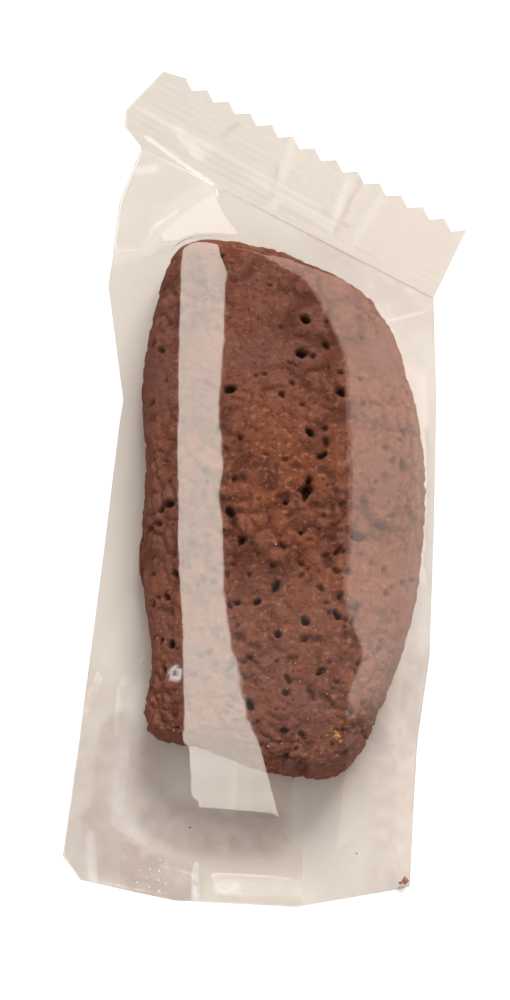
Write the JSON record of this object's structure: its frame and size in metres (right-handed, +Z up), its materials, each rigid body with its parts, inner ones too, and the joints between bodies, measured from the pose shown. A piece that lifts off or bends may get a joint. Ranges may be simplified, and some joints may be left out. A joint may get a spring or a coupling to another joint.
{
  "type": "chocolate financier cake in a clear film pack",
  "caption": "Rounded oblong brown sponge cake sealed in a clear flow-wrap pack with a serrated, skewed end seal; it lies on its flat back.",
  "frame": {"origin": "under the middle of the pack's outer box, on the surface it lies on", "axes": "+Y along the pack towards the serrated end seal, +X across it, +Z up from the back seam side to the shown side"},
  "size_m": [0.0635, 0.134, 0.0154],
  "materials": {
    "film": "clear glossy packing film, slightly warm grey where it lies double, milky along the pressed seals",
    "cake": "matt baked sponge crumb, uneven mid brown with small dark open pores"
  },
  "bodies": {
    "root": {"film_pack": "film"}
  },
  "joints": []
}
